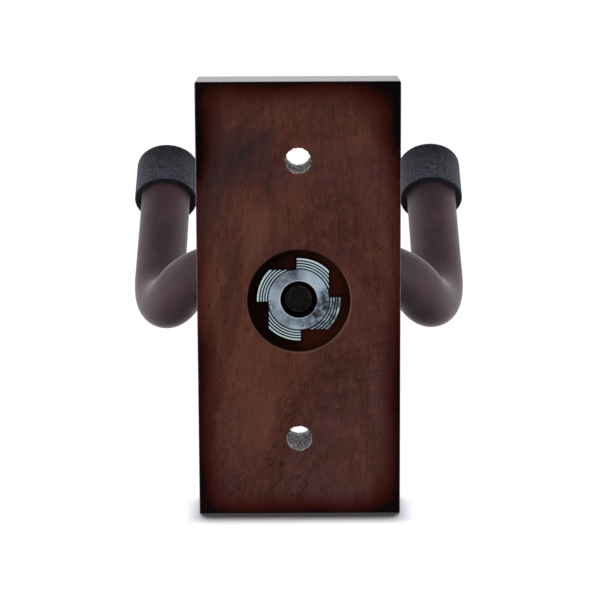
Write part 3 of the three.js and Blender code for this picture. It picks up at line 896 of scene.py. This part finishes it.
def weld_bead(side):
    """A lumpy ring of weld round the bar where it comes out of the collar."""
    shape = bmesh.new()
    stand = Matrix.Translation((0, 0, BAR_RADIUS))
    bmesh.ops.create_circle(shape, segments=12, radius=WELD_RADIUS,
                            matrix=stand @ Matrix.Rotation(math.pi / 2, 4, "X"))
    bmesh.ops.spin(shape, geom=list(shape.verts) + list(shape.edges), cent=(0, 0, 0),
                   axis=(1, 0, 0), angle=math.tau, steps=72, use_merge=True)
    bmesh.ops.remove_doubles(shape, verts=shape.verts, dist=MERGE)
    for point in shape.verts:
        ripple = WELD_RIPPLE * math.sin(WELD_RIPPLES * math.atan2(point.co.y, point.co.z))
        height = min(abs(point.co.z), COLLAR_RADIUS)
        out = math.sqrt(COLLAR_RADIUS ** 2 - height ** 2)
        point.co.x = side * (point.co.x + out + ripple)
    bmesh.ops.translate(shape, verts=shape.verts, vec=(0, CROSSBAR_REACH, 0))
    bmesh.ops.recalc_face_normals(shape, faces=shape.faces)
    return shape


def inside_cap(corners):
    """An arm's corners with the last one drawn back from the end of the cap to inside its wall."""
    corners[-1] -= (corners[-1] - corners[-2]).normalized() * (CAP_WALL + SEAT_GAP)
    return corners


def yoke_bar():
    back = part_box("yoke_rod")[0].y
    front = CROSSBAR_REACH + BAR_RADIUS
    left = inside_cap(arm_corners(-1))
    right = inside_cap(arm_corners(1))
    bends = [KNEE_BEND, SHOULDER_BEND, SHOULDER_BEND, KNEE_BEND]
    shape = closed_ends(bent_tube([*left[:0:-1], *right[1:]], BAR_RADIUS, bends, 32))
    neck = COLLAR_RADIUS - COLLAR_CHAMFER
    shape = worked(shape, turned([
        (0, back), (neck, back), (COLLAR_RADIUS, back + COLLAR_CHAMFER),
        (COLLAR_RADIUS, front - COLLAR_CHAMFER), (neck, front), (0, front)], 96), "UNION")
    socket = NUT_CREST + BORE_PLAY
    shape = worked(shape, turned([
        (0, back - CUT_CLEAR), (socket, back - CUT_CLEAR), (socket, back + SOCKET_DEPTH),
        (0, back + SOCKET_DEPTH)], 96))
    for side in (-1, 1):
        shape = worked(shape, weld_bead(side), "UNION")
    return shape


add_piece("yoke_bar", yoke_bar(), black_steel("blackened_bar"), "yoke", "yoke_rod",
          32)

# ---------------------------------------------------------------------------------------------
# Sleeves. Thick extruded rubber tube, dark plum-brown and matt with a faint bloom, pushed onto
# each arm from its end before the cap goes on. It follows the bends smoothly.
# ---------------------------------------------------------------------------------------------

SLEEVE_RADIUS = 7.4 * MM
SLEEVE_WALL = 2.35 * MM
SLEEVE_START = 9.5 * MM
SLEEVE_END_ROUND = 0.5 * MM


def sleeve(side):
    corners = inside_cap(arm_corners(side))
    corners[0].x = side * SLEEVE_START
    shape = bent_tube(corners, SLEEVE_RADIUS, [SHOULDER_BEND, KNEE_BEND], 64, 40)
    ends = [edge for edge in shape.edges if edge.is_boundary]
    bmesh.ops.solidify(shape, geom=shape.faces[:], thickness=SLEEVE_WALL)
    round_edges(shape, [edge for edge in ends if edge.is_valid], SLEEVE_END_ROUND, 4)
    return shape


def sleeve_rubber(name):
    rubber = Finish(name, Specular_IOR_Level=0.36, Sheen_Weight=0.8, Sheen_Roughness=0.25,
                    Sheen_Tint=srgb(255, 240, 240))
    spot = rubber.place()
    bloom = rubber.cloud(spot, 0.09, 3.0, 0.5)
    grain = rubber.cloud(spot, 1.7, 4.0, 0.75)
    body = rubber.mixed(bloom.rise(0.35, 0.65), srgb(82, 58, 62), srgb(96, 71, 76))
    body = rubber.mixed(grain.rise(0.42, 0.62) * 0.5, body, srgb(54, 37, 41))
    rubber.feed("Base Color", body)
    rubber.feed("Roughness", 0.46 + bloom * 0.08 + grain * 0.1)
    rubber.relief(grain, 0.03 * MM)
    return rubber.material


plum_rubber = sleeve_rubber("plum_rubber")
for word, side in (("left", -1), ("right", 1)):
    add_piece(f"rubber_sleeve_{word}", sleeve(side), plum_rubber, "yoke", f"sleeve_{word}",
              60)

# ---------------------------------------------------------------------------------------------
# End caps. Moulded blue-black rubber cups pushed over the ends of the sleeves, with a fine
# spark-eroded texture from the mould, a rounded end and a squared-off mouth.
# ---------------------------------------------------------------------------------------------

CAP_LENGTH = 16 * MM
CAP_RADIUS = 9.5 * MM
CAP_BORE = 7.7 * MM
CAP_FLOOR_CHAMFER = 0.5 * MM
CAP_END_ROUND = 1.8 * MM
CAP_RIM_ROUND = 0.45 * MM
CAP_CROWN = 0.25 * MM


def end_cap(side):
    """A cup turned about Y with its flat end at the origin, then set on the end of its arm."""
    crown = [(CAP_RADIUS * share, CAP_CROWN * (1 - share ** 2)) for share in (0.55, 0.3, 0)]
    mouth = CAP_RIM_ROUND - CAP_LENGTH
    shape = turned([
        (0, -CAP_WALL), (CAP_BORE - CAP_FLOOR_CHAMFER, -CAP_WALL),
        (CAP_BORE, -CAP_WALL - CAP_FLOOR_CHAMFER),
        *arc((CAP_BORE + CAP_RIM_ROUND, mouth), CAP_RIM_ROUND, 180, 270, 4),
        *arc((CAP_RADIUS - CAP_RIM_ROUND, mouth), CAP_RIM_ROUND, 270, 360, 4),
        *arc((CAP_RADIUS - CAP_END_ROUND, -CAP_END_ROUND), CAP_END_ROUND, 0, 85, 8), *crown], 96)
    corners = arm_corners(side)
    along = (corners[-1] - corners[-2]).normalized()
    turn = Vector((0, 1, 0)).rotation_difference(along).to_matrix().to_4x4()
    bmesh.ops.transform(shape, matrix=Matrix.Translation(corners[-1]) @ turn, verts=shape.verts)
    return shape


def cap_rubber(name):
    rubber = Finish(name, Specular_IOR_Level=0.16, Sheen_Weight=0.45, Sheen_Roughness=0.3,
                    Sheen_Tint=srgb(235, 240, 255))
    spot = rubber.place()
    _, y, z = rubber.parts(spot)
    patches = rubber.cloud(spot, 0.16, 3.0, 0.5)
    pimples = rubber.cloud(spot, 1.9, 3.0, 0.8)
    body = rubber.mixed(patches.rise(0.35, 0.65), srgb(44, 43, 56), srgb(58, 57, 70))
    body = rubber.mixed(pimples.rise(0.44, 0.58) * 0.65, body, srgb(120, 120, 134))

    # Painted shade darkens the caps towards their tips, and more painted shade lies round the mouths.
    # The arms lean sideways so little that one measure along them does for both caps.
    tip = arm_corners(1)[-1]
    along = (tip - arm_corners(1)[-2]).normalized()
    from_tip = (tip.dot(along) - along.x * tip.x) / MM - y * along.y - z * along.z
    body = rubber.mixed((1 - from_tip.rise(0, CAP_LENGTH / MM * 0.9)) * 0.8, body, srgb(8, 8, 16))
    mouth = from_tip.rise((CAP_LENGTH - CAP_RIM_ROUND) / MM, CAP_LENGTH / MM)
    # Painted shade round the mouth.
    body = rubber.mixed(mouth * 0.85, body, srgb(8, 7, 9))
    rubber.feed("Base Color", body)
    rubber.feed("Roughness", 0.6 + pimples * 0.2)
    rubber.relief(pimples, 0.2 * MM)
    return rubber.material


blue_black_rubber = cap_rubber("blue_black_rubber")
for word, side in (("left", -1), ("right", 1)):
    add_piece(f"rubber_cap_{word}", end_cap(side), blue_black_rubber, "yoke", f"end_cap_{word}",
              60)
